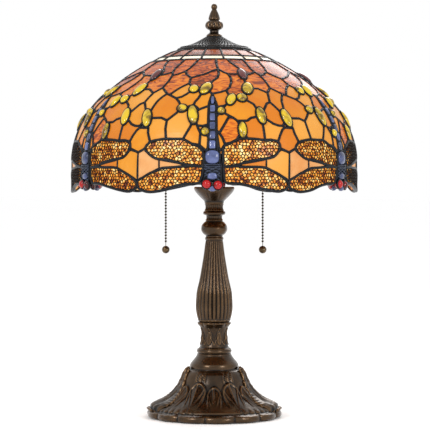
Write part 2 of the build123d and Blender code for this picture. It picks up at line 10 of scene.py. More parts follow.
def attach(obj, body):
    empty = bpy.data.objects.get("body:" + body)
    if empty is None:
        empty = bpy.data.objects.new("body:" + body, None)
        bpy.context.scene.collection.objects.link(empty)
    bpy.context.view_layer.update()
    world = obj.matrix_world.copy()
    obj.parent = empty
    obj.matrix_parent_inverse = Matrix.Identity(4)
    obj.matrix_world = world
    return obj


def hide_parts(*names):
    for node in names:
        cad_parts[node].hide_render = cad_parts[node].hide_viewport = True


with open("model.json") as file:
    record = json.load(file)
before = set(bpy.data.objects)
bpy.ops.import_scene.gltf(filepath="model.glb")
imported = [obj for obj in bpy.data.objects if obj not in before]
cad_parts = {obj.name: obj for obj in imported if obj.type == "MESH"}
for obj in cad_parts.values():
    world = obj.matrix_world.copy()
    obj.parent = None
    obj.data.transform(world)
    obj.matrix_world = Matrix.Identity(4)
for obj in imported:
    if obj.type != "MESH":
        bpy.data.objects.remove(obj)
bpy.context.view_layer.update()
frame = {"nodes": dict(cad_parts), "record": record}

# Stained glass table lamp. Lengths in the functions below are millimetres and angles
# are degrees; azimuth 0 is the front (-Y) and grows towards +X. MM turns a length into
# Blender's metres where a mesh is made.
MM = 0.001
dice = random.Random(7)

# ---------------------------------------------------------------- the dome's profile
WALL_R, WALL_TOP_Z = 202.0, 359.0
SHOULDER_ARC, CREST_ARC, CROWN_LENGTH = 130.0, 375.0, 12.0
SHOULDER_SLOPE, CREST_SLOPE, CROWN_SLOPE = map(math.radians, (41.0, 23.7, 14.2))
SHOULDER_R = WALL_R - SHOULDER_ARC
CREST_R = SHOULDER_R + (SHOULDER_ARC - CREST_ARC) * math.sin(SHOULDER_SLOPE)
CREST_Z = WALL_TOP_Z + (SHOULDER_ARC - CREST_ARC) * math.cos(SHOULDER_SLOPE)
CREST_LENGTH = CREST_ARC * (SHOULDER_SLOPE - CREST_SLOPE)
SHOULDER_LENGTH = SHOULDER_ARC * (math.pi / 2 - SHOULDER_SLOPE)
REPEATS, REPEAT = 6, 60.0
GLASS_T = 2.4


def dome(down):
    """(r, z, slope) on the outside of the dome, at a distance down from its upper edge."""
    if down < CROWN_LENGTH:
        r, z, _ = dome(CROWN_LENGTH)
        back = CROWN_LENGTH - down
        return r - back * math.cos(CROWN_SLOPE), z + back * math.sin(CROWN_SLOPE), CROWN_SLOPE
    down -= CROWN_LENGTH
    if down < CREST_LENGTH:
        at = CREST_SLOPE + down / CREST_ARC
        return CREST_R + CREST_ARC * math.sin(at), CREST_Z + CREST_ARC * math.cos(at), at
    down -= CREST_LENGTH
    if down < SHOULDER_LENGTH:
        at = SHOULDER_SLOPE + down / SHOULDER_ARC
        return SHOULDER_R + SHOULDER_ARC * math.sin(at), WALL_TOP_Z + SHOULDER_ARC * math.cos(at), at
    return WALL_R, WALL_TOP_Z - (down - SHOULDER_LENGTH), math.pi / 2


def on_dome(azimuth, down, lift=0.0):
    r, z, slope = dome(down)
    r, z = r + lift * math.sin(slope), z + lift * math.cos(slope)
    a = math.radians(azimuth)
    return Vector((r * math.sin(a), -r * math.cos(a), z))


def dome_axes(azimuth, down):
    """Unit vectors along the dome's azimuth, up its slope and out of it."""
    a, slope = math.radians(azimuth), dome(down)[2]
    east = Vector((math.cos(a), math.sin(a), 0))
    out = Vector((math.sin(slope) * math.sin(a), -math.sin(slope) * math.cos(a), math.cos(slope)))
    return east, out.cross(east), out


def drift(azimuth, down, k):
    """Where a point of the drawn pattern lies in repeat k. The upper rows lean a little to
    one side and then the other, as in a hand-cut shade."""
    lean = 4.3 * max(0.0, (190.0 - down) / 145.0) ** 1.3
    at = azimuth + REPEAT * k
    return at - lean * math.sin(math.radians(3.0 * at))


# ---------------------------------------------------------------- pieces
def piece(name, verts, faces, material, body="lamp", slot=None, instead=(), smooth=True):
    """A mesh object from points in millimetres that rides a body and replaces CAD nodes."""
    mesh = bpy.data.meshes.new(name)
    mesh.from_pydata([Vector(v) * MM for v in verts], [], faces)
    mesh.validate()
    mesh.polygons.foreach_set("use_smooth", [smooth] * len(mesh.polygons))
    mesh.materials.append(material)
    obj = bpy.data.objects.new(name, mesh)
    bpy.context.scene.collection.objects.link(obj)
    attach(obj, body)
    if instead:
        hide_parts(*instead)
    return obj


class Build:
    """Points and faces gathered for one mesh."""

    def __init__(self):
        self.verts, self.faces = [], []

    def add(self, verts, faces):
        start = len(self.verts)
        self.verts += [Vector(v) for v in verts]
        self.faces += [[i + start for i in face] for face in faces]

    def add_turned(self, verts, faces, azimuth):
        turn = Matrix.Rotation(math.radians(azimuth), 3, "Z")
        self.add([turn @ Vector(v) for v in verts], faces)

    def piece(self, name, material, **how):
        return piece(name, self.verts, self.faces, material, **how)


def grid_faces(rows, columns, closed):
    """Quads of a grid of points, row by row, whose columns may close on themselves."""
    faces = []
    for i in range(rows - 1):
        for j in range(columns if closed else columns - 1):
            k = (j + 1) % columns
            faces.append([i * columns + j, i * columns + k, (i + 1) * columns + k, (i + 1) * columns + j])
    return faces


def tube(points, outs, width, height, sides=8, sink=0.0):
    """An oval tube along points; outs are the directions of its height."""
    verts, count = [], len(points)
    for i, (p, out) in enumerate(zip(points, outs)):
        along = (points[min(i + 1, count - 1)] - points[max(i - 1, 0)]).normalized()
        across = along.cross(out).normalized()
        for j in range(sides):
            a = 2 * math.pi * j / sides
            verts.append(p + across * (width / 2 * math.cos(a)) + out * (height / 2 * math.sin(a) - sink))
    faces = grid_faces(count, sides, True)
    for end, way in ((0, -1), (count - 1, 1)):
        tip = points[end] - outs[end] * sink
        step = points[min(end + 1, count - 1)] - points[max(end - 1, 0)]
        verts.append(tip + step.normalized() * way * width * 0.35)
        for j in range(sides):
            k = (j + 1) % sides
            face = [end * sides + j, end * sides + k, len(verts) - 1]
            faces.append(face if way > 0 else face[::-1])
    return verts, faces


def smooth_line(points, steps=4):
    """A curve through the points, as a list of points closer together."""
    line = []
    for i in range(len(points) - 1):
        a, b, c, d = (points[max(i - 1, 0)], points[i], points[i + 1], points[min(i + 2, len(points) - 1)])
        for n in range(steps):
            t = n / steps
            line.append(tuple(0.5 * (2 * q + (r - p) * t + (2 * p - 5 * q + 4 * r - s) * t * t
                                     + (3 * q - p - 3 * r + s) * t ** 3)
                              for p, q, r, s in zip(a, b, c, d)))
    return line + [tuple(points[-1])]


def lathe(profile, segments=128, shape=None, steps=6):
    """A surface of revolution through (r, z) points; shape bends the radius at an angle."""
    line = smooth_line(profile, steps)
    verts = []
    for i, (r, z) in enumerate(line):
        for j in range(segments):
            a = 2 * math.pi * j / segments
            rr = shape(r, z, a) if shape else r
            verts.append((rr * math.sin(a), -rr * math.cos(a), z))
    return verts, grid_faces(len(line), segments, True)


# ---------------------------------------------------------------- materials
def shader(name, **values):
    material = bpy.data.materials.new(name)
    material.use_nodes = True
    bsdf = material.node_tree.nodes["Principled BSDF"]
    for key, value in values.items():
        bsdf.inputs[key.replace("_", " ")].default_value = value
    return material, material.node_tree, bsdf


def noise(tree, scale, detail=4.0, distortion=0.0, stretch=(1, 1, 1)):
    coords = tree.nodes.new("ShaderNodeTexCoord")
    mapping = tree.nodes.new("ShaderNodeMapping")
    mapping.inputs["Scale"].default_value = stretch
    texture = tree.nodes.new("ShaderNodeTexNoise")
    for key, value in (("Scale", scale), ("Detail", detail), ("Distortion", distortion)):
        texture.inputs[key].default_value = value
    tree.links.new(coords.outputs["Object"], mapping.inputs["Vector"])
    tree.links.new(mapping.outputs["Vector"], texture.inputs["Vector"])
    return texture.outputs["Fac"]


def math_node(tree, operation, *inputs):
    node = tree.nodes.new("ShaderNodeMath")
    node.operation = operation
    for i, value in enumerate(inputs):
        if isinstance(value, (int, float)):
            node.inputs[i].default_value = value
        else:
            tree.links.new(value, node.inputs[i])
    return node.outputs[0]


def ramp(tree, factor, stops):
    node = tree.nodes.new("ShaderNodeValToRGB")
    elements = node.color_ramp.elements
    while len(elements) < len(stops):
        elements.new(0.5)
    for element, (place, colour) in zip(elements, stops):
        element.position = place
        element.color = (*colour, 1.0)
    tree.links.new(factor, node.inputs["Fac"])
    return node.outputs["Color"]


def bump(tree, bsdf, height, strength, distance):
    node = tree.nodes.new("ShaderNodeBump")
    node.inputs["Strength"].default_value = strength
    node.inputs["Distance"].default_value = distance
    tree.links.new(height, node.inputs["Height"])
    tree.links.new(node.outputs["Normal"], bsdf.inputs["Normal"])


def art_glass(name, stops, painted_glow, scale=22.0, distortion=1.0, stretch=(1, 1, 1), spread=0.35, relief=0.3,
              roughness=0.3, gloss=0.1):
    """Opalescent glass: streaks of colour that differ from pane to pane, with a painted glow: it emits its
    own colour as if the bulbs lit it from behind.
    """
    material, tree, bsdf = shader(name, Roughness=roughness, Specular_IOR_Level=0.25, Coat_Weight=gloss,
                                  Coat_Roughness=0.05, Emission_Strength=painted_glow)
    streaks = noise(tree, scale, 5.0, distortion, stretch)
    island = tree.nodes.new("ShaderNodeNewGeometry").outputs["Random Per Island"]
    shifted = math_node(tree, "MULTIPLY_ADD", island, spread, -spread / 2)
    factor = math_node(tree, "ADD", streaks, shifted)
    colour = ramp(tree, factor, stops)
    tree.links.new(colour, bsdf.inputs["Base Color"])
    # Painted glow: the glass emits the same colour as its surface.
    tree.links.new(colour, bsdf.inputs["Emission Color"])
    bump(tree, bsdf, noise(tree, scale * 6, 2.0, 0.5), relief, 0.0008)
    return material


def metal(name, dark, light, roughness=(0.32, 0.6), scale=60.0, metallic=0.85, relief=0.35, wear_and_shade=5.0,
          coat=0.0):
    """Patinated metal, lighter where the noise rubs it. Pointiness makes it lighter on ridges and darker in
    the hollows: partly rubbed patina, partly a painted highlight on the ridges and painted shade in the
    hollows.
    """
    material, tree, bsdf = shader(name, Metallic=metallic, Coat_Weight=coat, Coat_Roughness=0.22)
    patch = noise(tree, scale, 6.0, 0.4)
    # Painted highlight on ridges and painted shade in hollows, mixed with the patina's rubbing.
    pointed = tree.nodes.new("ShaderNodeNewGeometry").outputs["Pointiness"]
    edge = math_node(tree, "MULTIPLY_ADD", pointed, wear_and_shade, 0.12 - wear_and_shade / 2)
    factor = math_node(tree, "ADD", math_node(tree, "MULTIPLY", patch, 0.6), edge)
    tree.links.new(ramp(tree, factor, ((0.25, dark), (0.85, light))), bsdf.inputs["Base Color"])
    rough = tree.nodes.new("ShaderNodeMapRange")
    rough.inputs["To Min"].default_value, rough.inputs["To Max"].default_value = roughness
    tree.links.new(patch, rough.inputs["Value"])
    tree.links.new(rough.outputs["Result"], bsdf.inputs["Roughness"])
    bump(tree, bsdf, noise(tree, scale * 8, 3.0), relief, 0.0004)
    return material


# The third value of each glass is the strength of its painted glow.
GLASS = {
    "top": art_glass("glass_top_russet", ((0.3, (0.08, 0.012, 0.003)), (0.5, (0.24, 0.040, 0.004)),
                                          (0.72, (0.42, 0.10, 0.010))), 0.06, 60, 1.6, (1, 1, 2.5), 0.2),
    "cream": art_glass("glass_cream", ((0.3, (0.80, 0.66, 0.46)), (0.7, (0.95, 0.88, 0.74))), 0.12, 30),
    "russet": art_glass("glass_russet", ((0.37, (0.09, 0.013, 0.003)), (0.47, (0.32, 0.052, 0.004)),
                                         (0.60, (0.54, 0.12, 0.006))), 0.08, 60, 2.2, (1, 1, 3.4), 0.10),
    "orange": art_glass("glass_orange", ((0.36, (0.16, 0.024, 0.003)), (0.47, (0.44, 0.090, 0.004)),
                                         (0.62, (0.60, 0.175, 0.008))), 0.09, 52, 2.2, (1, 1, 3.4), 0.10),
    "amber": art_glass("glass_amber", ((0.26, (0.50, 0.14, 0.003)), (0.5, (0.56, 0.205, 0.007)),
                                       (0.72, (0.60, 0.26, 0.035))), 0.09, 12, 0.8, spread=0.5),
    "peach": art_glass("glass_peach", ((0.3, (0.54, 0.22, 0.06)), (0.7, (0.62, 0.33, 0.13))), 0.09, 26),
    "wing": art_glass("glass_wing", ((0.38, (0.12, 0.018, 0.002)), (0.47, (0.62, 0.17, 0.006)),
                                     (0.54, (0.85, 0.38, 0.04)), (0.70, (1.0, 0.80, 0.38))), 0.24, 150, 0.2,
                      spread=0.05),
}
# The slate blue body glass, the cabochons and the eyes carry a weaker painted glow too.
BLUE = art_glass("glass_slate_blue", ((0.3, (0.020, 0.028, 0.070)), (0.7, (0.085, 0.11, 0.25))), 0.03, 60,
                 roughness=0.15, gloss=0.5)
GOLD = art_glass("cabochon_gold", ((0.38, (0.11, 0.060, 0.001)), (0.56, (0.56, 0.38, 0.006))), 0.06, 60,
                 spread=0.1, relief=0.0, roughness=0.05, gloss=0.6)
GARNET = art_glass("cabochon_garnet", ((0.3, (0.025, 0.002, 0.002)), (0.7, (0.085, 0.006, 0.005))), 0.03, 40,
                   relief=0.0, roughness=0.08, gloss=1.0)
RED = art_glass("eye_red", ((0.40, (0.030, 0.0, 0.0)), (0.60, (0.34, 0.0, 0.001))), 0.04, 130, relief=0.0,
                roughness=0.05, gloss=0.35)
SOLDER = metal("dark_solder", (0.003, 0.004, 0.007), (0.026, 0.030, 0.046), (0.3, 0.5), 90, 0.6)
FILIGREE = metal("filigree_metal", (0.010, 0.005, 0.003), (0.10, 0.045, 0.016), (0.35, 0.55), 160, 0.6)
PEWTER = metal("pewter_wire", (0.05, 0.06, 0.09), (0.24, 0.27, 0.36), (0.3, 0.45), 120)
# Dark bronze with the strongest painted highlight on ridges and painted shade in hollows, over its rubbed
# patina.
BRONZE = metal("dark_bronze", (0.0045, 0.0022, 0.0007), (0.115, 0.060, 0.021), (0.18, 0.36), 45, wear_and_shade=9.0,
               coat=0.3)
BLACKENED = metal("blackened_metal", (0.004, 0.004, 0.004), (0.050, 0.048, 0.048), (0.35, 0.5), 80)
BRASS = metal("aged_brass", (0.02, 0.012, 0.005), (0.21, 0.13, 0.052), (0.15, 0.3), 120, coat=0.3)
CHAIN = metal("darkened_brass", (0.006, 0.004, 0.002), (0.06, 0.038, 0.016), (0.25, 0.45), 120)
STEEL = metal("zinc_steel", (0.13, 0.13, 0.14), (0.30, 0.30, 0.31), (0.35, 0.55), 90)


# ---------------------------------------------------------------- the drawn pattern
# Points of one repeat as (azimuth, distance down the dome), before the drift. A name
# with - or + after it means the same point in the repeat before or after.
POINTS = {
    "B0": (-16.8, 44.5), "D0": (2.1, 44.5), "E0": (14.2, 44.5), "AC0": (29.7, 44.5),
    "AC1": (29.5, 58), "AC2": (28.9, 72), "AC3": (29.6, 81), "AC4": (31.4, 90.3),
    "AC5": (31.8, 104), "AC6": (31.2, 118.7),
    "B1": (-17.7, 56), "B2": (-19.4, 71), "B3": (-21.5, 80), "B4": (-19.1, 88), "B5": (-15.1, 96.8),
    "B6": (-15.0, 104), "B7": (-14.6, 110), "L1": (-25.4, 87),
    "M1": (-11.5, 92.6), "M2": (-7.0, 88.3), "M3": (-2.4, 80.8),
    "D1": (2.1, 60), "D2": (3.0, 74), "D3": (3.3, 86), "D4": (2.1, 97), "D5": (-1.3, 106),
    "F1": (6.5, 82), "F2": (9.7, 87), "F3": (10.9, 97), "F4": (10.2, 108), "F5": (8.3, 120),
    "F6": (6.4, 125.6), "F7": (3.2, 129.6), "T0": (-1.0, 132.8),
    "E1": (15.3, 54), "E2": (18.4, 66), "E3": (21.4, 76.5), "E4": (23.3, 88.3), "G1": (26.3, 85.8),
    "K1": (23.8, 121), "K2": (26.0, 125.6), "K3": (27.9, 130), "K4": (29.6, 124.3),
    "N1": (-26.2, 126), "N2": (-24.1, 132), "N3": (-22.4, 134), "N4": (-21.0, 136.7),
    "N5": (-18.4, 141), "N6": (-16.7, 146.5), "Sa": (-18.1, 117.5), "Sb": (-19.9, 123.3),
    "O1": (-15.8, 138.3), "O2": (-14.2, 134), "O5": (-6.9, 135.8),
    "V1": (-7.6, 141.7), "V2": (-8.8, 147.5), "V3": (-9.3, 153.2),
    "X1": (-7.7, 157), "X2": (-6.6, 161), "X3": (-2.4, 155), "X6": (-6.7, 185.5), "X6b": (-4.5, 186),
    "X7": (-6.3, 189), "X8": (-5.3, 196), "X10": (-5.6, 212.5), "Y4": (-9.3, 186), "Y5": (-10.4, 193.3),
    "Z3": (-17.2, 170), "Z4": (-19.6, 177.5), "Z5": (-19.5, 190), "Z6": (-18.8, 204),
    "AA1": (-22.25, 173.5),
    "Q2": (-25.8, 138), "Q3": (-27.2, 146), "Q4": (-28.0, 156), "Q7": (27.9, 155),
    "Q8": (26.4, 147.5), "Q9": (27.0, 139.5),
    "R3": (15.95, 146.5), "R4": (18.1, 151.7), "R7": (24.45, 150.4),
    "W2": (19.9, 205.5), "W3": (24.4, 182.2), "W4": (26.5, 184.8), "W5": (28.6, 185.3),
    "I2": (4.85, 154.5), "I3": (1.3, 156.8), "I7": (5.85, 170), "I8": (7.9, 174), "I9": (9.4, 178.4),
    "I10": (13.5, 178.3), "I11": (15.2, 174), "I13": (6.1, 172.3), "I14": (2, 196.4),
    "I15": (3.1, 202), "I16": (4.1, 211),
    "H1": (29.2, 187.5), "H2": (33, 188.3), "H3": (33.3, 196), "H4": (34.6, 207), "H5": (32.6, 216.9),
    "H6": (29.8, 222), "H7": (26.2, 216.9), "H8": (25.4, 207), "H9": (26.4, 199.5), "H10": (27.9, 191),
    "S1": (-2.3, 150), "S2": (-2.4, 184), "S3": (-12, 204.2), "S4": (-22.2, 205.3),
    "S5": (-25.4, 207.8), "S6": (-26.8, 195), "S7": (-27, 188.3), "S8": (-8.5, 210.8),
    "S9": (-2.1, 203), "S10": (-2.4, 217), "S11": (-3.2, 220), "S12": (0.9, 150), "S13": (22.3, 205),
    "S14": (16.5, 204.5), "S15": (13, 204), "S16": (8.7, 205), "S17": (6.3, 209.5),
    "S18": (0.9, 192), "S19": (0.9, 172), "S20": (3.6, 216), "S21": (1.9, 219.5), "S22": (0.9, 194),
}
# Cabochons: azimuth, distance down, half width in degrees, half height, tilt, glass.
JEWELS = {
    "DJ": (19.6, 88, 2.4, 12.5, 0, "garnet"),
    "J1": (18.1, 121.7, 2.6, 12.5, 15, "gold"), "J2": (13.3, 140.8, 2.25, 6.8, 0, "gold"),
    "J3": (8.0, 144, 1.9, 10.2, 22, "gold"), "J4": (3.0, 163.3, 1.55, 5.0, 0, "gold"),
    "J5": (19.9, 170.4, 1.9, 12.7, -5, "gold"), "J6": (31.2, 173.6, 2.0, 13.5, -12, "gold"),
    "J7": (11.1, 191.7, 1.55, 11.3, 0, "gold"), "J8": (-10.8, 123.3, 2.25, 7.2, 0, "gold"),
    "J9": (-4.5, 122, 2.5, 12.6, 20, "gold"), "J10": (-14.1, 159, 2.05, 5.7, 0, "gold"),
    "J11": (-8.9, 169.6, 1.95, 14.3, -10, "gold"), "J13": (-3.5, 193.8, 1.5, 5.4, 0, "gold"),
}
POINTS.update({name: jewel[:2] for name, jewel in JEWELS.items()})
CELLS = {
    "russet": (
        "B0 B1 B2 B3 L1 AC4- AC3- AC2- AC1- AC0-", "B0 D0 D1 D2 M3 M2 M1 B5 B4 B3 B2 B1",
        "D0 E0 E1 E2 E3 DJ F2 F1 D2 D1", "E0 AC0 AC1 AC2 AC3 G1 E4 E3 E2 E1",
        "B5 M1 M2 M3 D2 D3 D4 D5 J9 J8 B7 B6",
    ),
    "orange": (
        "AC4- L1 B3 B4 B5 B6 B7 Sa Sb N3 N2 N1 AC6- AC5-", "D2 F1 F2 F3 F4 F5 F6 F7 T0 J9 D5 D4 D3",
        "E4 G1 AC3 AC4 AC5 AC6 K4 K3 K2 K1 J1 DJ", "F2 DJ J1 J2 J3 F6 F5 F4 F3",
        "I13 I8 I9 J7 S16 S17 I16 I15 I14",
    ),
    "amber": (
        "B7 J8 O2 O1 N5 N4 N3 Sb Sa", "J8 J9 O5 V1 V2 V3 J10 N6 N5 O1 O2", "O5 J9 T0 S1 X3 X2 X1 V3 V2 V1",
        "X2 X3 S2 X6b X6 J11", "N2 N4 N5 N6 J10 Z3 Z4 AA1 J12 Q4 Q3 Q2",
        "AC6- N1 N2 Q2 Q3 Q4 J12 Q7- Q8- Q9- K3- K4-", "J10 V3 X1 X2 J11 Y4 Y5 S3 Z6 Z5 Z4 Z3",
        "Z4 Z5 Z6 S4 S5 S6 S7 J12 AA1", "J11 X6 X7 X8 X10 S8 S3 Y5 Y4", "X6 X6b S2 J13 X8 X7",
        "J13 S9 S10 S11 X10 X8", "T0 F7 F6 J3 I2 I3 S12", "I2 J3 J2 R3 R4 J5 I11 I10 I9 I8 I7 J4",
        "J1 K1 K2 K3 Q9 Q8 R7 J5 R4 R3 J2", "R7 Q8 Q7 J6 W5 W4 W3 J5", "J5 W3 W4 W5 H1 H10 H9 H8 S13 W2",
        "I9 I10 I11 J5 W2 S14 S15 J7", "J4 I7 I8 I13 I14 S18 S19", "I14 I15 I16 S20 S21 S22",
        "I3 I2 J4 S19 S12", "N3 N4 N2", "H1 H2 H3 H4 H5 H6 H7 H8 H9 H10",
    ),
}
POINTS["J12"] = (POINTS["J6"][0] - REPEAT, POINTS["J6"][1])    # the same cabochon, a repeat before
# The lead down both sides of the tail, and the joints of its segments.
TAIL_AZIMUTH, TAIL_LEAD = -0.7, 1.35
TAIL = ((139, 151.7), (155, 164.6), (168, 178), (181, 190.5), (194, 204), (207, 217))
# Dark plates behind the body, as degrees from the tail's middle and distance down.
THORAX_BACKING = ((-4.3, 232), (4.3, 232), (4.4, 262), (-4.4, 262))
TAIL_BACKING = ((-1.5, 140), (1.5, 140), (2.2, 222), (-2.2, 222))
UPPER_RIGHT = ((3.5, 214), (6.5, 209.5), (9.5, 204), (13, 203.5), (17, 204.5), (20, 206), (23, 205.5),
               (25.3, 208), (26, 213), (25.5, 219), (24, 225.5), (22.2, 228.8), (19.5, 230.5),
               (16, 232.2), (12, 235), (9.7, 238), (7, 240), (3.5, 240))
UPPER_LEFT = ((-4.2, 221), (-6, 214.6), (-8.5, 211), (-11.9, 204.5), (-15, 204.5), (-18.8, 203.7),
              (-22.2, 205.3), (-25.3, 208), (-27.4, 216.7), (-26, 222.3), (-23.8, 228.2),
              (-21.3, 231.3), (-18, 232), (-14.5, 234.8), (-11.5, 237.8), (-7, 239.7), (-4, 240))
LOWER_RIGHT = ((3.5, 241), (8, 240.5), (12, 241.6), (16, 241.6), (19.6, 242.5), (22.4, 246.8),
               (25.3, 251.5), (28.6, 260), (29.5, 264.8), (28.5, 269.8), (26.7, 273), (24.5, 273.8),
               (21, 272), (17, 269.2), (13, 266.2), (10, 264), (7, 263), (4, 261))
LOWER_LEFT = ((-4, 241), (-10, 240.3), (-15, 242), (-20, 243), (-21.6, 245.8), (-25, 249.8),
              (-28, 255.5), (-30.2, 259.4), (-30.5, 264), (-29.8, 269.8), (-27.6, 273.2),
              (-25, 274.5), (-21.5, 273.3), (-18.5, 271), (-15, 266.6), (-11, 264), (-5.5, 262.1))
BETWEEN_WINGS = (
    ("amber", ((26.2, 218.5), (29.8, 222), (29.5, 258.8), (25, 250.4), (20, 242), (20, 231.5), (23, 228.8))),
    ("peach", ((-30.2, 222), (-27.4, 217.5), (-24, 228), (-21.2, 231.8), (-21.2, 243), (-25, 249.6),
               (-30.3, 259))),
    ("amber", ((9.0, 238.4), (14.5, 235), (20, 231.6), (20, 242.3), (9.5, 240.6))),
    ("peach", ((-9.5, 238.8), (-15, 235.6), (-21.2, 231.8), (-21.2, 243.2), (-10, 240.8))),
)
TOP_ROWS = (("top", 6.0, 32.0), ("cream", 32.0, 44.5))
MERIDIANS, MERIDIAN_START = 18, 8.5


def spot(name, k):
    """A named point's place on the shade in repeat k, as (azimuth, distance down)."""
    shift = {"-": -1, "+": 1}.get(name[-1], 0)
    azimuth, down = POINTS[name.rstrip("+-")]
    return drift(azimuth, down, k + shift), down


def closer(outline, step=5.0):
    """The outline with extra points, none further apart than step."""
    result = []
    for (a0, s0), (a1, s1) in zip(outline, outline[1:] + outline[:1]):
        r = dome((s0 + s1) / 2)[0]
        length = math.hypot(math.radians(a1 - a0) * r, s1 - s0)
        count = max(1, math.ceil(length / step))
        result += [(a0 + (a1 - a0) * i / count, s0 + (s1 - s0) * i / count) for i in range(count)]
    return result


def pane(build, outline, step=6.0):
    """Fills an outline on the dome with a curved pane, outside, inside and edges."""
    outline = closer(list(outline), step)
    scale = math.radians(dome(sum(s for _, s in outline) / len(outline))[0])
    flat = [Vector((a * scale, s)) for a, s in outline]
    count = len(flat)
    low = [min(p[i] for p in flat) for i in (0, 1)]
    high = [max(p[i] for p in flat) for i in (0, 1)]
    inner = []
    rows = max(1, int((high[1] - low[1]) / step))
    across = max(1, int((high[0] - low[0]) / step))
    for i in range(1, rows):
        for j in range(1, across):
            inner.append(Vector((low[0] + (j + 0.5 * (i % 2)) * step, low[1] + i * step)))
    edges = [(i, (i + 1) % count) for i in range(count)]
    points, _, faces, *_ = delaunay_2d_cdt(flat + inner, edges, [list(range(count))], 1, 1e-4)
    used = sorted({i for face in faces for i in face})
    order = {old: new for new, old in enumerate(used)}
    outside = [on_dome(points[i].x / scale, points[i].y) for i in used]
    inside = [on_dome(points[i].x / scale, points[i].y, -GLASS_T) for i in used]
    size = len(used)
    front = [[order[i] for i in face] for face in faces]
    sides = {}
    for face in front:
        for a, b in zip(face, face[1:] + face[:1]):
            sides[(a, b)] = sides.get((a, b), 0) + 1
    border = [(a, b) for a, b in sides if (b, a) not in sides]
    back = [[i + size for i in reversed(face)] for face in front]
    edge = [[b, a, a + size, b + size] for a, b in border]
    build.add(outside + inside, front + back + edge)


def lead(build, points, width=4.4, height=4.8, sides=8, lift=1.1):
    """A soldered seam along (azimuth, down) points on the dome."""
    line = []
    for start, end in zip(points, points[1:]):
        there_and_back = closer([start, end], 6.0)
        line += there_and_back[: max(1, len(there_and_back) // 2)]
    line.append(points[-1])
    places = [on_dome(a, s, lift) for a, s in line]
    outs = [dome_axes(a, s)[2] for a, s in line]
    build.add(*tube(places, outs, width, height, sides, height / 2 - lift * 0.35))


# ---------------------------------------------------------------- shade
def make_panes():
    """Every pane of the background, one object for each kind of glass."""
    builds = {name: Build() for name in ("top", "cream", "russet", "orange", "amber", "peach")}
    for k in range(REPEATS):
        for kind, cells in CELLS.items():
            for cell in cells:
                pane(builds[kind], [spot(name, k) for name in cell.split()])
        for kind, outline in BETWEEN_WINGS:
            pane(builds[kind], [(a + REPEAT * k, s) for a, s in outline])
    for kind, start, end in TOP_ROWS:
        for i in range(MERIDIANS):
            left = MERIDIAN_START + i * 360.0 / MERIDIANS
            right = left + 360.0 / MERIDIANS
            pane(builds[kind], [(left, start), (right, start), (right, end), (left, end)])
    nodes = {"top": ("top_row_glass", "top_glass"), "cream": ("cream_band_glass", "cream_glass"),
             "russet": ("russet_glass", "russet_glass"), "amber": ("amber_glass", "amber_glass"),
             "orange": (None, "russet_glass"), "peach": ("lower_amber_glass", "amber_glass")}
    for kind, build in builds.items():
        node, slot = nodes[kind]
        build.piece(f"panes_{kind}", GLASS[kind], slot=slot, instead=(node,) if node else (), smooth=False)


def corner_key(place):
    """A place rounded, so that a corner shared by neighbouring cells counts once."""
    azimuth, down = place
    return round(azimuth % 360.0, 1), round(down, 1)


def seam_lines():
    """The unique edges of the drawn cells, as pairs of places."""
    seen, lines = set(), []
    for k in range(REPEATS):
        for cells in CELLS.values():
            for cell in cells:
                places = [spot(name, k) for name in cell.split()]
                for a, b in zip(places, places[1:] + places[:1]):
                    key = tuple(sorted((corner_key(a), corner_key(b))))
                    if key not in seen:
                        seen.add(key)
                        lines.append((a, b))
    return lines


def make_solder():
    """All the dark soldered seams as one piece."""
    build = Build()
    for line in seam_lines():
        lead(build, line)
    for down, width in ((32.0, 3.4), (44.5, 4.2)):
        ring = [(i * 5.0, down) for i in range(73)]
        lead(build, ring, width)
    for i in range(MERIDIANS):
        azimuth = MERIDIAN_START + i * 360.0 / MERIDIANS
        lead(build, [(azimuth, 2.0), (azimuth, 44.5)], 3.6)
    for k in range(REPEATS):
        turn = REPEAT * k
        for wing in (UPPER_RIGHT, UPPER_LEFT, LOWER_RIGHT, LOWER_LEFT):
            outline = smooth_line([(a + turn, s) for a, s in wing] + [(wing[0][0] + turn, wing[0][1])], 2)
            lead(build, outline, 4.4, 5.2, lift=1.3)
        for _, outline in BETWEEN_WINGS:
            lead(build, [(a + turn, s) for a, s in outline + outline[:1]], 3.0)
        for side in (-1, 1):
            edge = TAIL_AZIMUTH + side * TAIL_LEAD + turn
            lead(build, [(TAIL_AZIMUTH + turn, 133), (edge, 150), (edge, 190), (edge + side * 0.5, 220),
                         (edge + side * 1.7, 226), (edge + side * 1.2, 238)], 3.2, 5.0, lift=1.3)
            lead(build, [(edge + side * 1.5, 236), (edge + side * 1.3, 246), (edge + side * 1.6, 258)], 3.0)
        for (_, end), (start, _) in zip(TAIL, TAIL[1:] + ((220, 0),)):
            middle = (end + start) / 2
            joint = [(TAIL_AZIMUTH + side * TAIL_LEAD + turn, middle) for side in (-1, 1)]
            lead(build, joint, start - end + 0.4, 5.6, lift=1.6)
    build.piece("solder_seams", SOLDER, slot="dark_solder", instead=("solder_ribs", "solder_rings"))


def tilted_axes(azimuth, down, tilt):
    """Unit vectors of a tilted oval on the dome: along its height, along its width, and out."""
    east, up, out = dome_axes(azimuth, down)
    turn = math.radians(tilt)
    return up * math.cos(turn) + east * math.sin(turn), east * math.cos(turn) - up * math.sin(turn), out


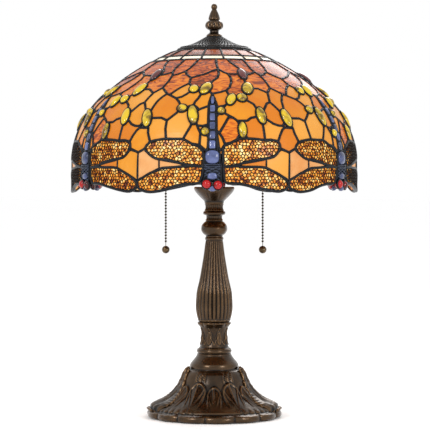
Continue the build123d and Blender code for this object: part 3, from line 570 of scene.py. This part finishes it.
def dome_cap(azimuth, down, half_width, half_height, tilt, rise, lift=1.0, square=1.0, rings=6, segments=28):
    """A smooth oval dome on the shade's outside, with its axes in millimetres. The lower
    square is, the nearer its outline comes to a rectangle."""
    long_way, short_way, out = tilted_axes(azimuth, down, tilt)
    centre = on_dome(azimuth, down, lift)
    verts = []
    for i in range(rings + 1):
        at = math.pi / 2 * (1 - i / rings)
        spread, height = math.cos(at), rise * math.sin(at)
        for j in range(segments):
            x, y = math.cos(2 * math.pi * j / segments), math.sin(2 * math.pi * j / segments)
            x, y = math.copysign(abs(x) ** square, x), math.copysign(abs(y) ** square, y)
            verts.append(centre + short_way * (half_width * max(spread, 0.02) * x)
                         + long_way * (half_height * max(spread, 0.02) * y) + out * height)
    for j in range(segments):
        verts.append(verts[rings * segments + j] - out * (lift + GLASS_T * 0.6))
    faces = [face[::-1] for face in grid_faces(rings + 2, segments, True)]
    faces.append(list(range(segments)))
    faces.append([(rings + 1) * segments + j for j in reversed(range(segments))])
    return verts, faces


def make_cabochons():
    builds, collars = {"gold": Build(), "garnet": Build()}, Build()
    for k in range(REPEATS):
        for azimuth, down, half, half_height, tilt, kind in JEWELS.values():
            at = drift(azimuth, down, k)
            half_width = math.radians(half) * dome(down)[0]
            builds[kind].add(*dome_cap(at, down, half_width, half_height, tilt, 4.2))
            long_way, short_way, out = tilted_axes(at, down, tilt)
            centre = on_dome(at, down, 0.9)
            ring = [centre + short_way * ((half_width + 0.6) * math.cos(2 * math.pi * i / 32))
                    + long_way * ((half_height + 0.6) * math.sin(2 * math.pi * i / 32)) for i in range(33)]
            collars.add(*tube(ring, [out] * 33, 2.7, 3.6, 8, 0.6))
    builds["gold"].piece("cabochons_gold", GOLD, slot="gold_cabochon", instead=("gold_cabochons",))
    builds["garnet"].piece("cabochons_garnet", GARNET, slot="dark_cabochon", instead=("dark_cabochons",))
    collars.piece("cabochon_collars", SOLDER, slot="dark_solder")


def inside(point, outline):
    """Whether a flat point lies inside an outline."""
    x, y = point
    hit = False
    for (x0, y0), (x1, y1) in zip(outline, outline[1:] + outline[:1]):
        if (y0 > y) != (y1 > y) and x < (x1 - x0) * (y - y0) / (y1 - y0) + x0:
            hit = not hit
    return hit


def cell_edges(outline, spacing):
    """The walls of irregular small cells that fill an outline, in millimetres."""
    xs, ys = [p[0] for p in outline], [p[1] for p in outline]
    seeds, row = [], 0
    y = min(ys) - spacing
    while y < max(ys) + spacing:
        x = min(xs) - spacing + (row % 2) * spacing / 2
        while x < max(xs) + spacing:
            seeds.append(Vector((x + dice.uniform(-0.28, 0.28) * spacing,
                                 y + dice.uniform(-0.24, 0.24) * spacing)))
            x += spacing
        y += spacing * 0.87
        row += 1
    points, _, faces, *_ = delaunay_2d_cdt(seeds, [], [], 0, 1e-4)
    centres, by_edge = [], {}
    for face in faces:
        a, b, c = (points[i] for i in face)
        d = 2 * (a.x * (b.y - c.y) + b.x * (c.y - a.y) + c.x * (a.y - b.y))
        aa, bb, cc = a.length_squared, b.length_squared, c.length_squared
        centres.append(((aa * (b.y - c.y) + bb * (c.y - a.y) + cc * (a.y - b.y)) / d,
                        (aa * (c.x - b.x) + bb * (a.x - c.x) + cc * (b.x - a.x)) / d))
        for i, j in zip(face, face[1:] + face[:1]):
            by_edge.setdefault(tuple(sorted((i, j))), []).append(len(centres) - 1)
    walls = []
    for pair in by_edge.values():
        if len(pair) == 2 and all(inside(centres[i], outline) for i in pair):
            walls.append((centres[pair[0]], centres[pair[1]]))
    return walls


VEIL_SPACING = 4.7


def make_wings():
    """Mottled glass wings with a pierced metal veil of small cells."""
    glass = {"upper": Build(), "lower": Build()}
    veil = Build()
    scale = math.radians(WALL_R)     # millimetres round the wall in a degree
    for kind, wing in (("upper", UPPER_RIGHT), ("upper", UPPER_LEFT), ("lower", LOWER_RIGHT),
                       ("lower", LOWER_LEFT)):
        rim = smooth_line(list(wing) + [wing[0]], 2)[:-1]
        one, wires = Build(), Build()
        pane(one, rim)
        flat = [(a * scale, s) for a, s in rim]
        for a, b in cell_edges(flat, VEIL_SPACING):
            ends = [on_dome(x / scale, y, 0.55) for x, y in (a, b)]
            if (ends[1] - ends[0]).length < 0.25:
                continue
            out = dome_axes((a[0] + b[0]) / 2 / scale, (a[1] + b[1]) / 2)[2]
            wires.add(*tube(ends, [out, out], 1.15, 1.5, 4))
        for k in range(REPEATS):
            glass[kind].add_turned(one.verts, one.faces, REPEAT * k)
            veil.add_turned(wires.verts, wires.faces, REPEAT * k)
    for kind, build in glass.items():
        build.piece(f"wings_{kind}", GLASS["wing"], slot="wing_glass", instead=(f"{kind}_wing_glass",),
                    smooth=False)
    veil.piece("wing_veil", FILIGREE, slot="filigree_metal", instead=("wing_filigree",))


def make_dragonflies():
    tails, bodies, eyes, plates, wires = Build(), Build(), Build(), Build(), Build()
    for k in range(REPEATS):
        turn = REPEAT * k
        for i, (start, end) in enumerate(TAIL):
            half, square = (2.2, 0.8) if i == 0 else (3.2 + 0.2 * i, 0.35)
            tails.add(*dome_cap(TAIL_AZIMUTH + turn, (start + end) / 2, half, (end - start) / 2 + 0.6, 0, 1.8,
                                0.8, square))
        bodies.add(*dome_cap(TAIL_AZIMUTH + turn, 228.4, 9.2, 8.8, 0, 3.6, 0.8, 0.75))
        bodies.add(*dome_cap(TAIL_AZIMUTH + turn, 253.5, 6.4, 4.4, 0, 2.6, 1.0, 0.7))
        bodies.add(*dome_cap(TAIL_AZIMUTH + turn, 270.0, 5.4, 3.8, 0, 2.6, 0.6))
        for backing in (THORAX_BACKING, TAIL_BACKING):
            pane(plates, [(TAIL_AZIMUTH + turn + a, s) for a, s in backing])
        for side in (-1, 1):
            for half, start, end in ((2.7, 240, 249), (3.0, 244, 254), (2.9, 250, 259)):
                wire = [(TAIL_AZIMUTH - side * half + turn, start), (TAIL_AZIMUTH + side * half + turn, end)]
                lead(wires, wire, 1.8, 3.6, lift=1.9)
        for down in (238.4, 240.8, 243.2):
            wire = [(TAIL_AZIMUTH - 3.0 + turn, down), (TAIL_AZIMUTH + 3.0 + turn, down)]
            lead(wires, wire, 1.9, 3.8, lift=1.9)
        for azimuth, down in ((-2.8, 264.2), (1.4, 265.4)):
            eyes.add(*dome_cap(azimuth + turn, down, 6.0, 6.0, 0, 5.4, 1.0))
            east, _, out = dome_axes(azimuth + turn, down)
            up = Vector((0, 0, 1))
            ring = [on_dome(azimuth + turn, down, 1.4) + east * (6.3 * math.cos(math.pi * i / 12))
                    + up * (6.3 * math.sin(math.pi * i / 12)) for i in range(25)]
            plates.add(*tube(ring, [out] * 25, 2.2, 3.4, 8))
    plates.piece("dragonfly_backing", SOLDER, slot="dark_solder")
    wires.piece("dragonfly_wires", PEWTER, slot="dark_solder")
    tails.piece("dragonfly_tail_glass", BLUE, slot="blue_glass", instead=("dragonfly_tails",))
    bodies.piece("dragonfly_thorax_glass", BLUE, slot="blue_glass", instead=("dragonfly_bodies",))
    eyes.piece("dragonfly_eye_glass", RED, slot="red_glass", instead=("dragonfly_eyes",))


# ---------------------------------------------------------------- top fittings
HOLE_BANDS, CAP_T = 9, 1.4


def make_cap():
    """The pierced vent cap and the rim it sits on."""
    outline = [(10.5, 540.0), (15, 537.4), (22, 533.4), (31, 529.2), (40, 526.4), (48.5, 524.6)]
    line, segments = smooth_line(outline, 6), 192
    verts = []
    for r, z in line:
        for j in range(segments):
            a = 2 * math.pi * j / segments
            verts.append((r * math.sin(a), -r * math.cos(a), z))
    faces = []
    for index, face in enumerate(grid_faces(len(line), segments, True)):
        row, column = divmod(index, segments)
        band, place = divmod(row - 2, 3)
        hole = 0 <= band < HOLE_BANDS and place < 2 and (column + 2 * (band % 2)) % 4 < 2
        if not hole:
            faces.append(face)
    cap = piece("pierced_cap", verts, faces, BLACKENED, slot="dark_bronze", instead=("vent_cap",))
    solid = cap.modifiers.new("thickness", "SOLIDIFY")
    solid.thickness, solid.offset = CAP_T * MM, -1.0
    soft = cap.modifiers.new("rounding", "SUBSURF")
    soft.levels = soft.render_levels = 1
    rim = [(46.9, 521.0), (47.6, 523.4), (49.8, 524.3), (52.2, 523.0), (53.4, 520.6), (54.6, 519.0),
           (57.0, 518.4), (58.4, 517.3), (57.6, 516.2), (50.6, 519.6), (46.9, 521.0)]
    verts, faces = lathe(rim, 144, lambda r, z, a: r + 0.35 * math.cos(72 * a) * (z > 519.5))
    piece("cap_rim_band", verts, faces, BLACKENED, slot="dark_bronze", instead=("cap_rim",))


def make_finial():
    flange = [(3.6, 539.6), (9.0, 539.5), (11.1, 540.4), (11.2, 541.0), (10.4, 541.0), (3.6, 541.0)]
    piece("finial_skirt", *lathe(flange, 72, steps=2), BRONZE, body="finial_flange", slot="dark_bronze",
          instead=("finial_washer",))
    knob = [(3.5, 541.2), (10.6, 541.3), (11.1, 542.6), (9.6, 544.4), (7.0, 546.4), (6.4, 548.6),
            (7.2, 550.2), (10.2, 551.6), (12.4, 554.4), (12.7, 557.5), (11.6, 560.8), (9.0, 563.2),
            (7.0, 564.2), (8.2, 565.4), (8.0, 568.0), (6.4, 573.0), (4.4, 577.4), (3.3, 579.4), (3.6, 580.2),
            (4.3, 582.0), (4.35, 583.8), (3.4, 586.2), (1.8, 587.5), (0.05, 587.9)]

    def gadroon(r, z, a):
        swell = max(0.0, 1.0 - abs(z - 557.5) / 6.5)
        spiral = abs(math.sin(5 * a + (z - 557.5) * 0.06))
        upper = 0.5 if 566 < z < 578 else 0.0
        return r * (1.0 - 0.16 * swell * (1 - spiral)) - upper * (1 - abs(math.sin(6 * a))) * 0.8

    piece("finial_knob_turned", *lathe(knob, 120, gadroon, 5), BRONZE, body="finial_knob",
          slot="dark_bronze", instead=("finial",))


# ---------------------------------------------------------------- stem and foot
def near(x, centre, half):
    """1 at the centre, falling evenly to 0 at half away from it."""
    return max(0.0, 1.0 - abs(x - centre) / half)


def around(azimuth, pitch, first=0.0):
    """Degrees from the nearest of the places that repeat every pitch degrees."""
    return (azimuth - first + pitch / 2) % pitch - pitch / 2


def flutes(count, depth, low, high):
    """Fine flutes, of a depth in millimetres, that fade at both ends."""
    def shape(r, z, a):
        fade = max(0.0, min(1.0, (z - low) / 5, (high - z) / 5))
        groove = 1.0 - abs(math.cos(count * a / 2)) ** 0.7
        bundle = 0.8 + 0.2 * math.cos(3 * a + 1.0) * math.cos(5 * a)
        return r - depth * (r / 20) * fade * groove * bundle
    return shape


BORE, FLUTES = 5.2, 26       # the stem castings' bore radius, and the flutes round them


def make_stem():
    def turned(name, profile, node, segments=144, shape=None, steps=5):
        piece(name, *lathe(profile, segments, shape, steps), BRONZE, slot="dark_bronze", instead=(node,))

    turned("cup_turned", [(BORE, 303.2), (12.8, 303.2), (14.2, 307), (18.5, 311.4), (22.8, 315.7),
                          (27.0, 320.6), (28.6, 324.4), (28.2, 326.8), (26.4, 327.4), (22, 325.6),
                          (14, 324.6), (5.4, 324.4)],
           "flared_cup", shape=lambda r, z, a: r - 0.7 * near(z, 315, 10) * (1 - abs(math.cos(4 * a)) ** 0.3))
    turned("upper_neck_fluted", [(BORE, 293.2), (13.4, 293.3), (12.8, 296), (12.5, 299), (12.9, 301.6),
                                 (13.2, 303), (BORE, 303.1)], "fluted_neck", 200,
           flutes(FLUTES, 2.3, 291, 305))
    turned("ring_collar_turned", [(BORE, 279.9), (12.4, 280.0), (11.3, 282), (11.2, 285), (12.2, 287.0),
                                  (15.0, 288.0), (15.9, 290.2), (15.0, 292.2), (12.8, 293.1), (BORE, 293.1)],
           "ring_collar", 200, flutes(FLUTES, 2.0, 278, 288))
    def mottled(r, z, a):
        return r + 0.35 * near(z, 268, 9) * math.sin(5 * a + 0.4 * z) * math.sin(3 * a - 0.3 * z)

    turned("stem_ball_turned", [(BORE, 256.1), (11.6, 256.1), (12.2, 258), (15.6, 260.6), (18.0, 264.6),
                                (18.6, 268.5), (17.6, 272.6), (14.8, 276.4), (12.2, 278.4), (11.8, 279.7),
                                (BORE, 279.8)], "stem_ball", shape=mottled)
    turned("baluster_fluted", [(BORE, 136.2), (21.6, 136.2), (23.6, 140), (25.0, 145), (26.3, 153),
                               (26.4, 161), (25.8, 170), (24.9, 179), (20.9, 196), (17.9, 213),
                               (15.1, 230), (12.9, 247),
                               (12.2, 251), (13.2, 253.6), (12.0, 255.9), (BORE, 256.0)], "fluted_baluster",
           288, flutes(FLUTES, 2.6, 137, 254), 6)

    def buds(r, z, a):
        """Pointed buds with crossed leaves below them, under a lip of curled leaf tips."""
        azimuth = math.degrees(a)
        off = around(azimuth, 45.0, 22.5)
        bud = max(0.0, 1.0 - (off / 13.0) ** 2 - ((z - 112.5) / 9.5) ** 2)
        seam = near(off, 0, 2.0) * near(z, 112, 8)
        across = around(azimuth, 45.0)
        leaves = near(z, 103.5 + abs(across) * 0.62, 1.5) * near(across, 0, 20)
        leaves += near(z, 126.0 - abs(off) * 0.75, 1.7) * near(off, 0, 20)
        lip = near(z, 133, 6) * (2.6 * (1 - abs(math.sin(math.radians(azimuth * 4))) ** 0.5) - 1.6)
        return r - 1.6 + 3.0 * bud ** 0.5 - 1.2 * seam + 2.0 * min(1.0, leaves) - lip

    turned("collar_leaves", [(BORE, 97.2), (23.4, 97.2), (22.4, 99.5), (20.8, 104), (19.2, 110),
                             (18.7, 116.5), (20.2, 123.4), (22.0, 128), (24.6, 132.4), (24.8, 134.6),
                             (22.4, 135.6), (21.4, 136.1), (BORE, 136.1)], "leaf_collar", 240, buds, 7)
    turned("foot_neck_turned", [(5.3, 66.1), (34.0, 66.1), (34.6, 69.0), (34.8, 72.4), (34.0, 75.6),
                                (32.0, 78.4), (31.4, 79.2), (29.0, 82.0), (26.4, 85.4), (24.8, 88.0),
                                (24.6, 89.6), (23.4, 90.4), (24.2, 91.6), (25.0, 93.6), (24.4, 95.6),
                                (22.6, 97.1), (5.3, 97.1)], "base_neck", 128, steps=6)


# The foot's plain surface from its hub out to its rim, and what is cast on it.
FOOT = [(33.0, 68.4), (38.0, 66.6), (42.0, 62.6), (45.0, 56.6), (48.0, 49.0), (52.0, 41.6), (57.5, 34.4),
        (65.0, 28.2), (74.0, 22.6), (82.0, 17.4), (88.0, 12.2), (91.5, 7.6), (92.0, 3.6), (90.0, 1.2)]
PAD_PITCH = 360.0 / 14
SIDE_LEAVES = (-128.0, -76.0, 76.0, 128.0)


def foot_height(r):
    """Height of the foot's plain surface at a radius."""
    for (r0, z0), (r1, z1) in zip(FOOT, FOOT[1:]):
        if r <= r1:
            t = max(0.0, (r - r0) / (r1 - r0))
            return z0 + (z1 - z0) * t
    return FOOT[-1][1]


def pad(azimuth, z, half, top):
    """Relief of one round-topped lily pad, with a raised rim and slanting veins."""
    low = 17.0
    v = (z - low) / (top - low)
    if not 0.0 < v < 1.25:
        return 0.0
    width = half * (0.62 + 0.38 * min(1.0, v / 0.55))
    reach = math.hypot(azimuth / width, max(0.0, (v - 0.55) / 0.45))
    rim = near(reach, 0.88, 0.16) ** 0.7 * min(1.0, v * 5)
    pillow = max(0.0, 1.0 - reach) ** 0.6
    spread = azimuth / max(3.0, z - low)
    vein = sum(near(spread, way, 0.08) for way in (-0.5, -0.05, 0.42))
    return 1.8 * rim + 4.2 * pillow + 1.5 * vein * min(1.0, pillow * 2)


def foot_relief(azimuth, z, far):
    """How far the cast surface stands out of the foot's plain surface."""
    broad = around(azimuth, 2 * PAD_PITCH, PAD_PITCH)
    slim = around(azimuth, 2 * PAD_PITCH, 0)
    relief = max(pad(broad, z, 14.2, 52.0), 0.8 * pad(slim, z, 10.4, 47.0))
    stripe = abs(math.sin(math.radians(azimuth * 18 + 40 * math.sin(z * 0.35))))
    bark = near(z, 57.0, 9.0) * near(broad, 0, 11.0) ** 0.4
    relief += bark * (1.9 * stripe + 0.6 * math.sin(z * 1.9 + azimuth))
    lobe = abs(math.cos(math.radians(around(azimuth, PAD_PITCH, 5.0) * 180 / PAD_PITCH)))
    ribs = abs(math.sin(math.radians(azimuth * 26))) * near(abs(azimuth), 46, 32)
    rim = min(1.0, max(0.0, (11.5 - z) / 2.5)) * (4.6 * lobe ** 0.5 - 0.4)
    return relief * (1 - far) + far * (rim - 1.5 * near(z, 12.0, 2.5) + 2.2 * ribs * near(z, 13.0, 7))


def side_leaf(azimuth, side):
    """A long leaf that sweeps from the foot's neck to its rim, with a beaded edge and a tip
    that curls up."""
    rows, columns, verts = 60, 33, []
    for i in range(rows):
        t = i / (rows - 1)
        r = 38.0 + 57.0 * t
        spread = 7.0 + 19.0 * min(1.0, t / 0.7) ** 0.8 - 9.0 * max(0.0, (t - 0.72) / 0.28) ** 2
        for j in range(columns):
            u = 2 * j / (columns - 1) - 1
            bead = abs(math.sin(t * 34)) * max(0.0, abs(u) - 0.72) / 0.28 * (1 - t ** 6)
            fold = 1.9 * math.cos(3.2 * math.pi * u) * (1 - t) ** 0.3
            curl = 12.0 * max(0.0, (t - 0.50) / 0.50) ** 2.2
            edge = 3.4 * abs(u) ** 3 * min(1.0, 0.25 + t * 2) * (1 - t ** 6)
            shoulder = 4.0 * near(t, 0.16, 0.22)
            vein = 1.2 * near(u, 0, 0.12)
            z = foot_height(r) + 2.2 + fold + shoulder + curl * (1 - 0.55 * u * u) + edge + vein + 2.4 * bead
            a = math.radians(azimuth + side * 6.0 * t * t + spread * u * (1 + 0.05 * bead))
            reach = r - 6.0 * t * t * abs(u) ** 2.5 - 1.5 * t * math.cos(3 * math.pi * u) ** 2
            verts.append((reach * math.sin(a), -reach * math.cos(a), z))
    return verts, [face[::-1] for face in grid_faces(rows, columns, False)]


def make_foot():
    outer = smooth_line(FOOT, 7)
    under = [(84.0, 1.2), (84.0, 9.0), (70.0, 16.0), (50.0, 32.0), (36.0, 46.0), (5.4, 53.8), (5.4, 65.8),
             (33.0, 66.0)]
    segments, verts = 432, []
    for i, (r, z) in enumerate(outer + under):
        ahead, behind = outer[min(i + 1, len(outer) - 1)], outer[min(max(i - 1, 0), len(outer) - 2)]
        run, drop = ahead[0] - behind[0], behind[1] - ahead[1]
        length = math.hypot(run, drop)
        far = min(1.0, max(0.0, (r - 60.0) / 24.0))
        sideways, upwards = drop / length * (1 - far) + far, run / length * (1 - far)
        for j in range(segments):
            azimuth = j * 360.0 / segments
            out = foot_relief(around(azimuth, 360.0), z, far) if i < len(outer) else 0.0
            rr, zz = r + out * sideways, z + out * upwards
            a = math.radians(azimuth)
            verts.append((rr * math.sin(a), -rr * math.cos(a), max(1.2, zz)))
    faces = grid_faces(len(outer) + len(under), segments, True)
    piece("foot_bell", verts, [face[::-1] for face in faces], BRONZE, slot="dark_bronze",
          instead=("foot_casting",))
    leaves = Build()
    for azimuth in SIDE_LEAVES:
        leaves.add(*side_leaf(azimuth, math.copysign(1, azimuth)))
    obj = leaves.piece("foot_side_leaves", BRONZE, slot="dark_bronze")
    solid = obj.modifiers.new("thickness", "SOLIDIFY")
    solid.thickness, solid.offset = 3.0 * MM, -1.0


# ---------------------------------------------------------------- inside and small parts
def paint_cad():
    """Materials for the CAD nodes that stay as they are."""
    frosted, tree, bsdf = shader("bulb_frosted", Roughness=0.4, Emission_Strength=1.2,
                                 Emission_Color=(1.0, 0.78, 0.48, 1.0))
    tree.links.new(ramp(tree, noise(tree, 40), ((0.3, (0.93, 0.86, 0.74)), (0.7, (1.0, 0.96, 0.88)))),
                   bsdf.inputs["Base Color"])
    phenolic, tree, bsdf = shader("phenolic_black", Roughness=0.45)
    tree.links.new(ramp(tree, noise(tree, 150), ((0.3, (0.012, 0.011, 0.010)), (0.7, (0.035, 0.032, 0.03)))),
                   bsdf.inputs["Base Color"])
    felt, tree, bsdf = shader("green_felt", Roughness=0.95, Sheen_Weight=0.5)
    fuzz = noise(tree, 900, 3)
    tree.links.new(ramp(tree, fuzz, ((0.3, (0.02, 0.05, 0.03)), (0.7, (0.05, 0.11, 0.07)))),
                   bsdf.inputs["Base Color"])
    bump(tree, bsdf, fuzz, 0.6, 0.0006)
    by_slot = {"bulb_glass": frosted, "insulator": phenolic, "felt": felt, "brass": BRASS, "steel": STEEL,
               "dark_bronze": BRONZE}
    slots = {part["node"]: part["material_slot"] for part in frame["record"]["subparts"]}
    for name, obj in frame["nodes"].items():
        material = CHAIN if "chain" in name else by_slot.get(slots[name])
        if material:
            obj.data.materials.clear()
            obj.data.materials.append(material)


# ---------------------------------------------------------------- studio
# Metres and watts from here on. Each light: name, place, width, power.
FLOOR_HALF = 40.0
LIGHTS = (("key", (-1.5, -2.2, 1.5), 0.7, 28), ("fill", (1.7, -2.0, 1.0), 0.7, 20),
          ("back", (0.4, 2.2, 1.8), 1.4, 20))
LIGHT_AIM = Vector((0, 0, 0.28))
CAMERA_PLACE, CAMERA_AIM = Vector((0.0011, -2.7, 0.330)), Vector((0.0011, 0, 0.2873))
SENSOR_MM, LENS_MM = 36.0, 158.7
WHITE = (1.0, 1.0, 1.0, 1.0)


def point_at(obj, target):
    """Turns a light or camera at its place so that it looks at the target."""
    obj.rotation_euler = (target - obj.location).to_track_quat("-Z", "Y").to_euler()
    bpy.context.scene.collection.objects.link(obj)


def make_studio():
    mesh = bpy.data.meshes.new("floor")
    corners = [(x * FLOOR_HALF, y * FLOOR_HALF, 0) for x, y in ((-1, -1), (1, -1), (1, 1), (-1, 1))]
    mesh.from_pydata(corners, [], [(0, 1, 2, 3)])
    paper, tree, bsdf = shader("floor_paper", Roughness=0.9)
    bsdf.inputs["Base Color"].default_value = WHITE
    mesh.materials.append(paper)
    floor = bpy.data.objects.new("floor", mesh)
    bpy.context.scene.collection.objects.link(floor)
    world = bpy.data.worlds.new("studio")
    world.use_nodes = True
    background = world.node_tree.nodes["Background"]
    background.inputs["Color"].default_value = WHITE
    background.inputs["Strength"].default_value = 1.0
    bpy.context.scene.world = world
    bpy.context.scene.view_settings.view_transform = "Standard"
    for name, place, size, power in LIGHTS:
        light = bpy.data.lights.new(name, "AREA")
        light.size, light.energy = size, power
        obj = bpy.data.objects.new(name, light)
        obj.location = place
        point_at(obj, LIGHT_AIM)


def make_camera():
    camera = bpy.data.cameras.new("camera")
    camera.sensor_width, camera.lens = SENSOR_MM, LENS_MM
    obj = bpy.data.objects.new("camera", camera)
    obj.location = CAMERA_PLACE
    point_at(obj, CAMERA_AIM)
    bpy.context.scene.camera = obj


make_camera()
make_studio()
paint_cad()
make_panes()
make_solder()
make_cabochons()
make_wings()
make_dragonflies()
make_cap()
make_finial()
make_stem()
make_foot()
